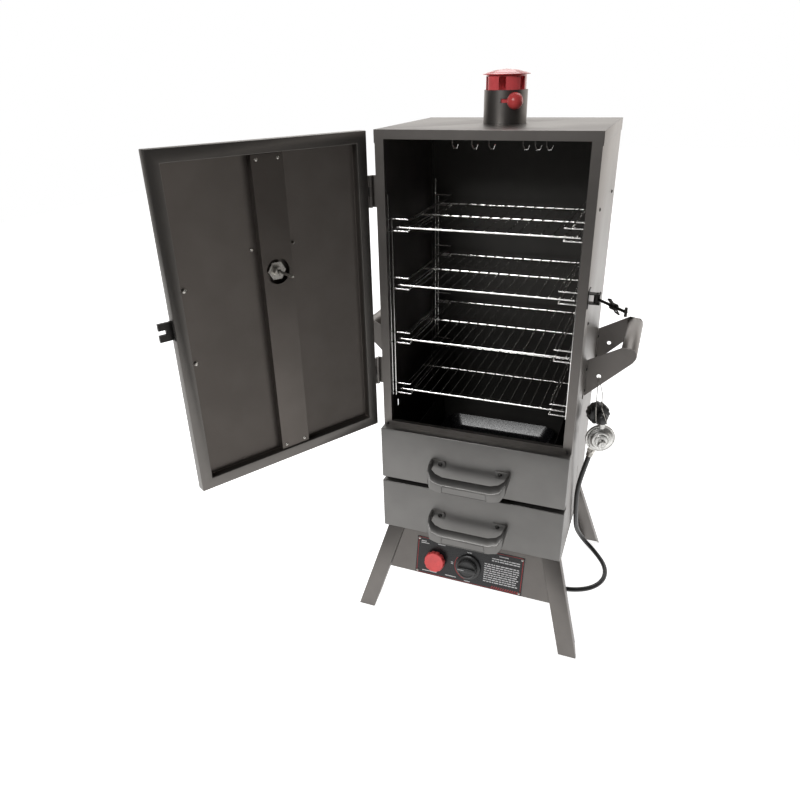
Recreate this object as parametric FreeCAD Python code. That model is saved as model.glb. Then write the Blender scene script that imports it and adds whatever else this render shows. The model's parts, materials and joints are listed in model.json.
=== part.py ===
"""Vertical cabinet smoker on splayed legs, with an open door, four racks, two drawers and a gas burner.

Millimetres, +Z up. The model is laid out about the middle of the cabinet's width (x = 0), the plane of
its front frame (y = 0, the chamber behind at +Y) and the floor (z = 0). At the end every node is moved
so that the origin is the middle of the whole model's footprint, on the floor.
"""
import FreeCAD, Part
import json
import math
import os

V = FreeCAD.Vector
X_AXIS, Y_AXIS, Z_AXIS = V(1, 0, 0), V(0, 1, 0), V(0, 0, 1)

# ---------------------------------------------------------------- driving dimensions
SHEET = 1.5                      # steel sheet of the casing
HALF_W = 229.0                   # outer face of a side panel
DEPTH = 368.0                    # front frame to back panel
TOP_Z = 1227.0                   # top of the lid
BOTTOM_Z = 252.0                 # underside of the casing
POST_W = 20.0                    # width of the front frame's posts
DOOR_HOLE = (556.0, 1208.5)      # door opening, low and high z
DRAWER_HOLES = ((409.0, 541.0), (259.0, 391.0))
LID_FLANGE = 26.0

DOOR_ANGLE = 119.5               # how far the door stands open
HINGE_X, HINGE_Y = -239.3, -6.2  # hinge pin
DOOR_X0, DOOR_X1 = -230.5, 229.5
DOOR_Z0, DOOR_Z1 = 552.0, 1226.0
DOOR_Y0, DOOR_Y1 = -23.5, -1.5   # outer and inner face, door closed
DOOR_RIM = 24.0                  # frame round the recess of the inner face
DOOR_RECESS = 18.0
HINGE_ZS = (1104.0, 690.0)
HINGE_H = 66.0
THERMO_Z = 977.0

FRONT_H = 139.0                  # drawer fronts
FRONT_Y = -25.0
FRONT_Z0 = (406.0, 256.0)
TRAY_HALF_W, TRAY_Y1, TRAY_H = 177.0, 310.0, 92.0
PULL_SPAN = 147.0                # between the two bolts of a pull
PULL_REACH = 45.0                # drawer face to the middle of the grip
PULL_DROP = 30.0                 # bolts to the middle of the grip
PULL_INSET, PULL_Z = 36.0, 900.0 # the door's pull, from its free edge and from the floor

HOOK_XS = ((-92.0, -49.0, -12.0), (60.0, 85.0, 108.0))
RACK_ZS = (1022.0, 891.0, 760.0, 629.0)
RACK_HALF_W, RACK_Y0, RACK_Y1 = 200.0, 40.0, 350.0
RACK_WIRES = 17
RAIL_D, WIRE_D = 5.0, 3.0
LADDER_X, LADDER_Y0, LADDER_Y1 = 214.0, 26.0, 352.0
ARM_X = 168.0                    # side rails that the racks lie on
ARM_GAP = 26.0                   # between the two arms at each rack

CHIMNEY_Y, CHIMNEY_R, CHIMNEY_H = 184.0, 46.0, 66.0
SLEEVE_R, SLEEVE_TOP = 42.5, 1322.0
CAP_R, CAP_RISE = 50.0, 11.0
DAMPER_ANGLE = 30.0              # knob, right of the middle
DAMPER_Z = 1273.0
SLOT_ANGLES = (-62.0, 2.0, 66.0)  # windows of the sleeve, right of the front

SPLAY = 0.25                     # outward lean of the burner shroud's front and rear, per unit of height
SIDE_SPLAY = 0.285               # and of its sides, along the legs
SHROUD_Z = 124.0                 # its lower edge
SHROUD_HALF_W, SHROUD_Y0, SHROUD_Y1 = 178.0, 5.0, 363.0
LEG_W, LEG_D, LEG_T = 44.0, 22.0, 2.0
LEG_TOP_X, LEG_FOOT_X = 223.0, 296.0
LEG_TOP_Y, LEG_FOOT_Y = 2.5, -65.0
PLATE_W, PLATE_H = 286.0, 104.0
KNOB_Z, IGNITER_X = 170.0, -88.0

HANDLE_YS = (129.0, 354.0)       # end plates of a side handle
HANDLE_T = 2.0
GRIP_X, GRIP_Z, GRIP_R = 318.0, 744.0, 18.5
EYE_X, EYE_Z, EYE_R = 259.5, 687.0, 5.0

LATCH_PIN = (246.0, 20.0)
LATCH_Z = 905.0
LATCH_ANGLE = 48.0               # bolt's direction, forward of +X
LATCH_LENGTH = 95.0
WING_TURN = 35.0                 # wings of the latch nut, from upright

REG = V(280.0, 116.0, 534.0)     # middle of the regulator's disc
REG_TURN = 18.0                  # its face, turned right of the front
INLET_WAY = V(-0.45, 0.89, 0)    # from the neck to the hand nut
INLET_Z = 52.0                   # over the middle of the disc
HOSE_D = 12.0
HOSE_ROUTE = [                   # valve to regulator, one point per bend
    (100, 46, 136), (146, 47, 126), (200, 50, 113), (258, 55, 110), (308, 80, 111),
    (334, 126, 111), (330, 182, 110), (296, 226, 118), (257, 232, 151), (241, 203, 200),
    (240, 168, 254), (239, 142, 312), (239, 128, 372), (248, 121, 430), (259, 119, 481),
]


# ---------------------------------------------------------------- helpers
def box(x, y, z):
    """Box from (low, high) pairs."""
    return Part.makeBox(x[1] - x[0], y[1] - y[0], z[1] - z[0], V(x[0], y[0], z[0]))


def rod(start, end, diameter):
    start, end = V(*start), V(*end)
    return Part.makeCylinder(diameter / 2, (end - start).Length, start, end - start)


def bent_wire(points, diameter):
    """Round wire along straight runs, with a ball in each corner."""
    parts = [rod(a, b, diameter) for a, b in zip(points, points[1:])]
    parts += [Part.makeSphere(diameter / 2, V(*p)) for p in points[1:-1]]
    return fuse(parts)


def fuse(shapes):
    return shapes[0].multiFuse(shapes[1:]).removeSplitter()


def cut(shape, *tools):
    for tool in tools:
        shape = shape.cut(tool)
    return shape


def mirror_x(shape):
    return shape.mirror(V(0, 0, 0), X_AXIS)


def both_sides(shape):
    return Part.makeCompound([shape, mirror_x(shape)])


def polygon(points):
    vectors = [V(*p) for p in points]
    return Part.makePolygon(vectors + vectors[:1])


def slab(points, thickness):
    """Plane outline pushed out along a vector."""
    return Part.Face(polygon(points)).extrude(V(*thickness))


def turned(profile, origin, axis):
    """Solid of revolution: profile is (radius, height) points, height along axis from origin."""
    outline = Part.Face(polygon([(r, 0, h) for r, h in profile]))
    solid = outline.revolve(V(0, 0, 0), Z_AXIS, 360)
    solid.Placement = FreeCAD.Placement(V(*origin), FreeCAD.Rotation(Z_AXIS, V(*axis)))
    return solid


def placed(shape, origin, x_dir, z_dir):
    """Shape drawn about the world's axes, stood at origin with its own X and Z along two directions."""
    x_dir, z_dir = V(*x_dir).normalize(), V(*z_dir).normalize()
    y_dir = z_dir.cross(x_dir)
    turn = FreeCAD.Rotation(x_dir, y_dir, z_dir, "ZXY")
    moved = shape.copy()
    moved.Placement = FreeCAD.Placement(V(*origin), turn).multiply(moved.Placement)
    return moved


def screw_heads(places, direction, radius=4.0, height=2.5):
    """Domed heads that stand on a face."""
    profile = [(0, 0), (radius, 0), (radius * 0.85, height * 0.6), (radius * 0.4, height), (0, height)]
    return [turned(profile, place, direction) for place in places]


def rounded_path(points):
    """Straight runs joined by tangent arcs, each as large as its two runs allow, and the arcs' radii."""
    points = [V(*p) for p in points]
    edges, radii = [], []
    start = points[0]
    for before, corner, after in zip(points, points[1:], points[2:]):
        back, ahead = before - corner, after - corner
        turn = math.pi - back.getAngle(ahead)
        setback = 0.45 * min(back.Length, ahead.Length)
        radii.append(setback / math.tan(turn / 2))
        back.normalize()
        ahead.normalize()
        arc_start, arc_end = corner + back * setback, corner + ahead * setback
        bisector = (back + ahead).normalize()
        centre = corner + bisector * (setback / math.cos(back.getAngle(bisector)))
        arc_middle = centre - bisector * (centre - arc_start).Length
        edges.append(Part.LineSegment(start, arc_start).toShape())
        edges.append(Part.Arc(arc_start, arc_middle, arc_end).toShape())
        start = arc_end
    edges.append(Part.LineSegment(start, points[-1]).toShape())
    return edges, radii


def swept_tube(points, diameter):
    edges, radii = rounded_path(points)
    path = Part.Wire(edges)
    section = Part.Wire([Part.Circle(V(*points[0]), V(*points[1]) - V(*points[0]), diameter / 2).toShape()])
    tube = path.makePipeShell([section], True, False)
    return tube, path.Length, radii


# ---------------------------------------------------------------- casing
def side_panel():
    panel = box((HALF_W - SHEET, HALF_W), (SHEET, DEPTH), (BOTTOM_Z, TOP_Z - SHEET))
    for y, z in ((92, 562), (186, 397)):
        panel = cut(panel, box((HALF_W - 3, HALF_W + 1), (y - 3, y + 3), (z - 9, z + 9)))
    return panel


def top_panel():
    outer = HALF_W + SHEET
    lid = box((-outer, outer), (0, DEPTH), (TOP_Z - SHEET, TOP_Z))
    flange = box((HALF_W, outer), (0, DEPTH), (TOP_Z - LID_FLANGE, TOP_Z - SHEET))
    hole = Part.makeCylinder(CHIMNEY_R - SHEET, 10, V(0, CHIMNEY_Y, TOP_Z - 5))
    return cut(fuse([lid, flange, mirror_x(flange)]), hole)


def front_frame():
    inner = HALF_W - POST_W
    frame = box((-HALF_W, HALF_W), (0, SHEET), (BOTTOM_Z, TOP_Z - SHEET))
    for z0, z1 in (DOOR_HOLE,) + DRAWER_HOLES:
        frame = cut(frame, box((-inner, inner), (-1, 3), (z0, z1)))
    z0, z1 = DOOR_HOLE
    collar = box((-inner - SHEET, inner + SHEET), (SHEET, 12), (z0 - SHEET, z1 + SHEET))
    collar = cut(collar, box((-inner, inner), (0, 13), (z0, z1)))
    return fuse([frame, collar])


def bottom_panel():
    inner = HALF_W - SHEET
    panel = box((-inner, inner), (SHEET, DEPTH - SHEET), (BOTTOM_Z, BOTTOM_Z + SHEET))
    return cut(panel, box((-120, 120), (90, 290), (BOTTOM_Z - 1, BOTTOM_Z + 3)))


def drawer_runners():
    rails = []
    for z in FRONT_Z0:
        shelf = box((TRAY_HALF_W - 14, HALF_W - SHEET), (14, 350), (z + 3, z + 4.5))
        fence = box((TRAY_HALF_W + 3, TRAY_HALF_W + 4.5), (14, 350), (z + 4.5, z + 24))
        rails.append(both_sides(fuse([shelf, fence])))
    return Part.makeCompound(rails)


def hook_strips():
    """Two strips under the lid, each with three J hooks."""
    strips = []
    for places in HOOK_XS:
        z = TOP_Z - SHEET
        parts = [box((places[0] - 9, places[-1] + 9), (95, 107), (z - 2, z))]
        for x in places:
            bight = [(x + 4, 100, z - 43), (x + 11, 98, z - 42), (x + 14, 97, z - 34)]
            parts.append(bent_wire([(x, 101, z - 1), (x, 101, z - 36)] + bight, 3.0))
        strips.append(fuse(parts))
    return Part.makeCompound(strips)


def rack_ladder():
    """Chrome wire ladder of one side: two uprights and a pair of U arms under and over each rack."""
    low = RACK_ZS[-1] - 12
    uprights = [
        rod((LADDER_X, LADDER_Y0, low), (LADDER_X, LADDER_Y0, 1094), 4),
        rod((LADDER_X, LADDER_Y1, low), (LADDER_X, LADDER_Y1, 1083), 4),
        rod((LADDER_X - 8, LADDER_Y0, low), (LADDER_X - 8, LADDER_Y0, 1046), 4),
        rod((LADDER_X - 8, LADDER_Y1, low), (LADDER_X - 8, LADDER_Y1, 1040), 4),
    ]
    arms = []
    for z_rack in RACK_ZS:
        under = z_rack - RAIL_D / 2 - 2.35
        for z in (under, under + ARM_GAP):
            front = [(LADDER_X, LADDER_Y0, z), (ARM_X, LADDER_Y0, z)]
            rear = [(ARM_X, LADDER_Y1, z), (LADDER_X, LADDER_Y1, z)]
            arms.append(bent_wire(front + rear, 4))
    return fuse(uprights + arms)


def rack():
    """Wire rack about z = 0: three cross rails, two side rails and wires from front to back."""
    middle = (RACK_Y0 + RACK_Y1) / 2
    rails = [rod((-RACK_HALF_W, y, 0), (RACK_HALF_W, y, 0), RAIL_D) for y in (RACK_Y0, middle, RACK_Y1)]
    step = 2 * (RACK_HALF_W - 7) / (RACK_WIRES - 1)
    z = RAIL_D / 2 + WIRE_D / 2 - 1.2
    wires = []
    for i in range(RACK_WIRES):
        x = -RACK_HALF_W + 7 + i * step
        wires.append(rod((x, RACK_Y0 - 1.5, z), (x, RACK_Y1 + 1.5, z), WIRE_D))
    return fuse(rails + wires)


# ---------------------------------------------------------------- base
def leg(front, right):
    """Bent channel leg, its web outward, leaning out both ways."""
    levels = []
    for z, x_out, y_web in ((0, LEG_FOOT_X, LEG_FOOT_Y), (BOTTOM_Z, LEG_TOP_X, LEG_TOP_Y)):
        x_in = x_out - LEG_W
        outline = [
            (x_out, y_web), (x_out, y_web + LEG_D), (x_out - LEG_T, y_web + LEG_D),
            (x_out - LEG_T, y_web + LEG_T), (x_in + LEG_T, y_web + LEG_T),
            (x_in + LEG_T, y_web + LEG_D), (x_in, y_web + LEG_D), (x_in, y_web),
        ]
        levels.append(polygon([(x, y, z) for x, y in outline]))
    shape = Part.makeLoft(levels, True, True)
    y = LEG_FOOT_Y + LEG_T + 1
    wedge = slab([(0, y + 4, -1), (0, y + 40, -1), (0, y + 40, 30), (0, y + 22, 26)], (400, 0, 0))
    shape = cut(shape, wedge)
    if not front:
        shape = shape.mirror(V(0, DEPTH / 2, 0), Y_AXIS)
    return shape if right else mirror_x(shape)


def shroud_wall(bottom_edge, top_edge, inward):
    """Leaning sheet between a lower and an upper edge."""
    return slab([*bottom_edge, *reversed(top_edge)], inward)


def burner_shroud():
    """Left, right and rear walls of the burner box, wider at the bottom."""
    drop = BOTTOM_Z - SHROUD_Z
    out = SPLAY * drop
    x0, x1 = SHROUD_HALF_W, SHROUD_HALF_W + SIDE_SPLAY * drop
    y0, y1 = SHROUD_Y0 + SHEET, SHROUD_Y1
    side = shroud_wall(
        [(x1, y0 - out, SHROUD_Z), (x1, y1 + out, SHROUD_Z)],
        [(x0, y0, BOTTOM_Z), (x0, y1, BOTTOM_Z)], (-SHEET, 0, 0))
    rear = shroud_wall(
        [(-x1 + SHEET, y1 + out, SHROUD_Z), (x1 - SHEET, y1 + out, SHROUD_Z)],
        [(-x0 + SHEET, y1, BOTTOM_Z), (x0 - SHEET, y1, BOTTOM_Z)], (0, -SHEET, 0))
    return fuse([side, mirror_x(side), rear])


def panel_y(z):
    """Front face of the leaning control panel at a height."""
    return SHROUD_Y0 - SPLAY * (BOTTOM_Z - z)


PANEL_OUT = (0, -1, SPLAY)


def control_panel():
    low, top = SHROUD_HALF_W + SIDE_SPLAY * (BOTTOM_Z - SHROUD_Z), SHROUD_HALF_W
    panel = shroud_wall(
        [(-low, panel_y(SHROUD_Z), SHROUD_Z), (low, panel_y(SHROUD_Z), SHROUD_Z)],
        [(-top, panel_y(BOTTOM_Z), BOTTOM_Z), (top, panel_y(BOTTOM_Z), BOTTOM_Z)],
        (0, SHEET, 0))
    for x, radius in ((0, 6), (IGNITER_X, 9)):
        panel = cut(panel, on_panel(Part.makeCylinder(radius, 20, V(0, 0, -10)), x))
    return panel


def on_panel(shape, x):
    """Shape drawn with +Z out of the panel, placed at knob height."""
    return placed(shape, (x, panel_y(KNOB_Z), KNOB_Z), (1, 0, 0), PANEL_OUT)


def label_plate():
    plate = box((-PLATE_W / 2, PLATE_W / 2), (-PLATE_H / 2 + 5, PLATE_H / 2 + 5), (0.02, 1.0))
    for x, radius in ((0, 6), (IGNITER_X, 9)):
        plate = cut(plate, Part.makeCylinder(radius, 4, V(x, 0, -1)))
    return on_panel(plate, 0)


def burner_knob():
    skirt = turned([(0, 3), (33, 3), (31, 8), (0, 8)], (0, 0, 0), (0, 0, 1))
    body = turned([(0, 8), (26, 8), (24, 22), (0, 22)], (0, 0, 0), (0, 0, 1))
    ridge = box((-23, 23), (-6, 6), (22, 28))
    stem = Part.makeCylinder(5, 21, V(0, 0, -17))
    return on_panel(fuse([skirt, body, ridge, stem]), 0)


def igniter_button():
    body = turned([(0, 8), (27, 8), (27, 20), (24, 23), (0, 23)], (0, 0, 0), (0, 0, 1))
    flutes = [Part.makeCylinder(3.2, 20, V(29 * math.cos(a), 29 * math.sin(a), 7))
              for a in (math.radians(20 * i) for i in range(18))]
    stem = Part.makeCylinder(8, 28, V(0, 0, -20))
    return on_panel(cut(body, *flutes).fuse(stem), IGNITER_X)


def gas_valve():
    """Valve body behind the panel, with its inlet towards the right and its outlet to the rear."""
    body = on_panel(box((-16, 16), (-16, 16), (-46, -18)), 0)
    y, z = panel_y(KNOB_Z) + 32, KNOB_Z - 8
    inlet = rod((14, y, z), (60, y, z), 14)
    elbow = bent_wire([(60, y, z), (66, y + 10, z - 8), (76, 46, 142)], 14)
    return fuse([body, inlet, elbow])


def burner():
    """Ring burner on a bracket, with a venturi tube back to the valve."""
    ring = Part.makeTorus(62, 13, V(0, CHIMNEY_Y, 200))
    spokes = rod((-60, CHIMNEY_Y, 200), (60, CHIMNEY_Y, 200), 18)
    venturi = bent_wire([(0, 34, 172), (0, 90, 186), (0, CHIMNEY_Y - 8, 198)], 20)
    bracket = box((-195.5, 195.5), (CHIMNEY_Y - 15, CHIMNEY_Y + 15), (178, 181))
    posts = rod((0, CHIMNEY_Y + 62, 181), (0, CHIMNEY_Y + 62, 196), 10)
    foot = box((-12, 12), (CHIMNEY_Y - 10, CHIMNEY_Y + 74), (178, 181))
    return fuse([ring, spokes, venturi, bracket, posts, foot])


def igniter_body():
    tube = Part.makeCylinder(11, 30, V(0, 0, -52))
    collar = Part.makeCylinder(16, 4, V(0, 0, -22))
    return on_panel(cut(fuse([tube, collar]), Part.makeCylinder(8.3, 32, V(0, 0, -50))), IGNITER_X)


def igniter_electrode():
    pin = rod((-78, 120, 218), (-44, 144, 222), 3)
    insulator = rod((-100, 104, 214), (-78, 120, 218), 9)
    clip = box((-106, -94), (96, 108), (181, 212))
    strut = box((-106, -94), (96, CHIMNEY_Y - 15), (178, 181))
    return fuse([pin, insulator, clip, strut])


# ---------------------------------------------------------------- chimney
def chimney_tube():
    tube = Part.makeCylinder(CHIMNEY_R, CHIMNEY_H, V(0, CHIMNEY_Y, TOP_Z))
    tube = tube.cut(Part.makeCylinder(CHIMNEY_R - SHEET, CHIMNEY_H + 2, V(0, CHIMNEY_Y, TOP_Z - 1)))
    ring = Part.makeCylinder(60, 8, V(0, CHIMNEY_Y, DAMPER_Z - 4), Z_AXIS, 60)
    ring.rotate(V(0, CHIMNEY_Y, 0), Z_AXIS, -90 + DAMPER_ANGLE - 30)
    return tube.cut(ring)


def damper_sleeve():
    """Slotted sleeve with its domed cap, free to turn inside the chimney."""
    z0 = TOP_Z + 14
    sleeve = Part.makeCylinder(SLEEVE_R, SLEEVE_TOP - z0, V(0, CHIMNEY_Y, z0))
    sleeve = sleeve.cut(Part.makeCylinder(SLEEVE_R - SHEET, SLEEVE_TOP - z0 + 1, V(0, CHIMNEY_Y, z0 - 0.5)))
    for angle in SLOT_ANGLES:
        slot = box((-7.5, 7.5), (-60, 0), (SLEEVE_TOP - 33, SLEEVE_TOP - 3))
        slot.rotate(V(0, 0, 0), Z_AXIS, angle)
        slot.translate(V(0, CHIMNEY_Y, 0))
        sleeve = sleeve.cut(slot)
    dome = [(0, -SHEET), (CAP_R * 0.5, -SHEET - 2.5), (CAP_R, -CAP_RISE), (CAP_R, -CAP_RISE + SHEET),
            (CAP_R * 0.5, -2.5), (0, 0)]
    cap = turned(dome, (0, CHIMNEY_Y, SLEEVE_TOP + CAP_RISE), (0, 0, 1))
    seat = Part.makeCylinder(SLEEVE_R, 4, V(0, CHIMNEY_Y, SLEEVE_TOP))
    seat = seat.cut(Part.makeCylinder(SLEEVE_R - SHEET, 6, V(0, CHIMNEY_Y, SLEEVE_TOP - 1)))
    return fuse([sleeve, seat, cap])


def damper_knob():
    """Ball on a stem that passes through the chimney's arc slot."""
    angle = math.radians(DAMPER_ANGLE)
    out = V(math.sin(angle), -math.cos(angle), 0)
    axis_point = V(0, CHIMNEY_Y, DAMPER_Z)
    stem = Part.makeCylinder(3, 16, axis_point + out * SLEEVE_R, out)
    ball = Part.makeSphere(16.5, axis_point + out * 66)
    return fuse([stem, ball])


# ---------------------------------------------------------------- door, drawn closed
def door_shell():
    """Outer pan: face sheet, four returns and the rim round the recess."""
    shell = box((DOOR_X0, DOOR_X1), (DOOR_Y0, DOOR_Y1), (DOOR_Z0, DOOR_Z1))
    hollow = box((DOOR_X0 + SHEET, DOOR_X1 - SHEET), (DOOR_Y0 + SHEET, DOOR_Y1 - SHEET),
                 (DOOR_Z0 + SHEET, DOOR_Z1 - SHEET))
    mouth = box((DOOR_X0 + DOOR_RIM, DOOR_X1 - DOOR_RIM), (DOOR_Y1 - 5, DOOR_Y1 + 1),
                (DOOR_Z0 + DOOR_RIM, DOOR_Z1 - DOOR_RIM))
    return cut(shell, hollow, mouth, thermo_hole(12))


def thermo_x():
    return (DOOR_X0 + DOOR_X1) / 2


def thermo_hole(radius):
    return Part.makeCylinder(radius, 60, V(thermo_x(), -50, THERMO_Z), Y_AXIS)


def door_liner():
    """Inner sheet that floors the recess, folded round its edge."""
    y1 = DOOR_Y1 - SHEET
    x = (DOOR_X0 + DOOR_RIM - SHEET, DOOR_X1 - DOOR_RIM + SHEET)
    z = (DOOR_Z0 + DOOR_RIM - SHEET, DOOR_Z1 - DOOR_RIM + SHEET)
    tray = box(x, (DOOR_Y1 - DOOR_RECESS - SHEET, y1), z)
    inside = box((x[0] + SHEET, x[1] - SHEET), (DOOR_Y1 - DOOR_RECESS, y1 + 1), (z[0] + SHEET, z[1] - SHEET))
    return cut(tray, inside, thermo_hole(12))


def door_channel():
    """Shallow channel down the middle of the recess."""
    y0, y1 = DOOR_Y1 - DOOR_RECESS, DOOR_Y1 - 4
    x, half = thermo_x(), 34
    z = (DOOR_Z0 + DOOR_RIM + 1, DOOR_Z1 - DOOR_RIM - 1)
    channel = box((x - half, x + half), (y0, y1), z)
    inside = box((x - half + SHEET, x + half - SHEET), (y0 - 1, y1 - SHEET), (z[0] - 1, z[1] + 1))
    return cut(channel, inside, thermo_hole(26))


def thermometer_case():
    case = turned([(0, 0), (36, 0), (38, 2), (38, 9), (34, 11), (34, 8), (0, 8)],
                  (thermo_x(), DOOR_Y0, THERMO_Z), (0, -1, 0))
    stem = rod((thermo_x(), DOOR_Y0, THERMO_Z), (thermo_x(), 52, THERMO_Z), 6)
    neck = rod((thermo_x(), DOOR_Y0, THERMO_Z), (thermo_x(), DOOR_Y1 - 1, THERMO_Z), 18)
    return fuse([case, stem, neck])


def thermometer_nut():
    hexagon = [(20 * math.cos(math.radians(60 * i)), 20 * math.sin(math.radians(60 * i))) for i in range(6)]
    y = DOOR_Y1 - DOOR_RECESS
    nut = slab([(thermo_x() + x, y, THERMO_Z + z) for x, z in hexagon], (0, 9, 0))
    return cut(nut, rod((thermo_x(), y - 1, THERMO_Z), (thermo_x(), y + 20, THERMO_Z), 18.1))


def pull():
    """Cast handle drawn with its bolts level on X and the face that it stands on at y = 0.

    Two feet carry level arms; between their ends hangs a deep grip with chamfered corners.
    """
    half = PULL_SPAN / 2
    low, high = -PULL_DROP - 19, -PULL_DROP + 19
    front, back = -PULL_REACH - 8, -PULL_REACH + 5
    parts = [box((-half - 4, half + 4), (front, back), (low, high))]
    for side in (-1, 1):
        inner, outer = side * (half + 4), side * (half + 25)
        x0, x1 = sorted((side * (half - 12), outer))
        parts.append(box((x0, x1), (-4, -0.02), (-10, 10)))
        arm = [(-0.5, 10), (back, 3), (back, -9), (-0.5, -2)]
        parts.append(slab([(outer, y, z) for y, z in arm], (-side * 6, 0, 0)))
        end = [(outer, back + 7), (outer, back - 1), (inner, front), (inner, back)]
        parts.append(slab([(x, y, low + 12) for x, y in end], (0, 0, 40)))
    return fuse(parts)


def door_handle():
    """The same bail stood upright near the free edge of the door."""
    shape = pull()
    shape.rotate(V(0, 0, 0), Y_AXIS, 90)
    shape.translate(V(DOOR_X1 - PULL_INSET, DOOR_Y0, PULL_Z))
    return shape


def door_keeper():
    """Forked plate on the door's free edge, which the latch bolt drops into."""
    plate = box((DOOR_X1, DOOR_X1 + 26), (-20, -14), (LATCH_Z - 18, LATCH_Z + 18))
    slot = box((LATCH_PIN[0] - 4.5, DOOR_X1 + 30), (-30, 0), (LATCH_Z - 4.5, LATCH_Z + 4.5))
    foot = box((DOOR_X1, DOOR_X1 + 2), (-22, -4), (LATCH_Z - 18, LATCH_Z + 18))
    return fuse([cut(plate, slot), foot])


def hinge_door_leaves():
    leaves = []
    for z in HINGE_ZS:
        leaf = box((DOOR_X0 - SHEET, DOOR_X0), (-22, -3.5), (z - HINGE_H / 2, z + HINGE_H / 2))
        knuckle = Part.makeCylinder(4.5, 21.0, V(HINGE_X, HINGE_Y, z - 10.5))
        web = box((HINGE_X, DOOR_X0), (-11.0, -8.5), (z - 10.5, z + 10.5))
        bore = Part.makeCylinder(2.6, 30, V(HINGE_X, HINGE_Y, z - 15))
        leaves.append(cut(fuse([leaf, knuckle, web]), bore))
    return Part.makeCompound(leaves)


def hinge_cabinet_leaves():
    """Leaves on the casing's left side, each with two knuckles and the fixed pin."""
    leaves = []
    outer = -HALF_W
    for z in HINGE_ZS:
        z0, z1 = z - HINGE_H / 2, z + HINGE_H / 2
        leaf = box((outer - SHEET, outer), (0.5, 28), (z0, z1))
        web = box((HINGE_X - 1.5, outer), (0.5, 2.5), (z0, z1))
        parts = [leaf, web, Part.makeCylinder(2.5, HINGE_H, V(HINGE_X, HINGE_Y, z0))]
        for low in (z0, z1 - 22):
            parts.append(Part.makeCylinder(4.5, 22, V(HINGE_X, HINGE_Y, low)))
            parts.append(box((HINGE_X - 1.5, HINGE_X + 1.5), (HINGE_Y, 2.5), (low, low + 22)))
        bare = box((HINGE_X - 1.6, HINGE_X + 2.5), (HINGE_Y, 0.4), (z - 10.9, z + 10.9))
        leaves.append(fuse([cut(parts[0].fuse(parts[1]), bare)] + parts[2:]))
    return Part.makeCompound(leaves)


def door_screws():
    x, y = thermo_x(), DOOR_Y1 - 4
    heads = []
    for z in (DOOR_Z0 + DOOR_RIM + 10, DOOR_Z1 - DOOR_RIM - 10):
        heads += screw_heads([(x - 23, y, z), (x + 23, y, z)], (0, 1, 0), 3.5, 2)
    floor = DOOR_Y1 - DOOR_RECESS
    heads += screw_heads([(x + side * 47, floor, 1025) for side in (-1, 1)], (0, 1, 0), 3, 5)
    pull_x = DOOR_X1 - PULL_INSET
    heads += screw_heads([(pull_x, floor, PULL_Z + side * PULL_SPAN / 2) for side in (-1, 1)], (0, 1, 0), 5, 3)
    return Part.makeCompound(heads)


def opened(shape):
    """Turn a piece of the closed door to where the open door stands."""
    shape = shape.copy()
    shape.rotate(V(HINGE_X, HINGE_Y, 0), Z_AXIS, -DOOR_ANGLE)
    return shape


# ---------------------------------------------------------------- drawers
def drawer_front(z0):
    """Folded front, hollow behind."""
    shell = box((-HALF_W, HALF_W), (FRONT_Y, -0.5), (z0, z0 + FRONT_H))
    hollow = box((-HALF_W + SHEET, HALF_W - SHEET), (FRONT_Y + SHEET, 0), (z0 + SHEET, z0 + FRONT_H - SHEET))
    return cut(shell, hollow)


def drawer_tray(z0):
    """Open tray that reaches forward to the back of its front."""
    z = z0 + 5
    tray = box((-TRAY_HALF_W, TRAY_HALF_W), (FRONT_Y + SHEET, TRAY_Y1), (z, z + TRAY_H))
    inside = box((-TRAY_HALF_W + SHEET, TRAY_HALF_W - SHEET), (FRONT_Y + 2 * SHEET, TRAY_Y1 - SHEET),
                 (z + SHEET, z + TRAY_H + 1))
    return cut(tray, inside)


def drawer_pull(z0):
    shape = pull()
    shape.translate(V(0, FRONT_Y, z0 + FRONT_H / 2 - 3))
    return shape


def open_pan(half_w, y, z, lip):
    """Drawn pan with sloped walls, a flat bottom and a lip round the rim."""
    y_middle, half_y = (y[0] + y[1]) / 2, (y[1] - y[0]) / 2

    def ring(shrink, height):
        a, b = half_w - shrink, half_y - shrink
        return polygon([(-a, y_middle - b, height), (a, y_middle - b, height),
                        (a, y_middle + b, height), (-a, y_middle + b, height)])

    outer = Part.makeLoft([ring(14, z[0]), ring(0, z[1])], True, True)
    inner = Part.makeLoft([ring(16, z[0] + 1.5), ring(1.8, z[1] + 0.01)], True, True)
    rim = box((-half_w - lip, half_w + lip), (y[0] - lip, y[1] + lip), (z[1] - 1.5, z[1]))
    rim = rim.cut(box((-half_w + 1, half_w - 1), (y[0] + 1, y[1] - 1), (z[1] - 3, z[1] + 1)))
    return fuse([outer.cut(inner), rim])


def chip_box():
    """Open steel tray for the wood chips."""
    z = FRONT_Z0[1] + 5 + SHEET + 0.05
    shell = box((-110, 110), (40, 260), (z, z + 52))
    return shell.cut(box((-108.5, 108.5), (41.5, 258.5), (z + 1.5, z + 60)))


# ---------------------------------------------------------------- side handles and latch
def handle_plate(y):
    """Tapered end plate with a hanging hole, and its flange on the casing."""
    x_out = GRIP_X + 17
    outline = [(HALF_W, y, 631), (x_out - 6, y, GRIP_Z - 16), (x_out, y, GRIP_Z - 6), (x_out, y, GRIP_Z + 8),
               (x_out - 6, y, GRIP_Z + 16), (GRIP_X - 15, y, GRIP_Z + 19), (HALF_W, y, 723)]
    plate = slab(outline, (0, HANDLE_T, 0))
    plate = plate.cut(Part.makeCylinder(EYE_R, 20, V(EYE_X, y - 5, EYE_Z), Y_AXIS))
    flange = box((HALF_W, HALF_W + HANDLE_T), (y - 16, y + HANDLE_T), (631, 723))
    return fuse([plate, flange])


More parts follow.
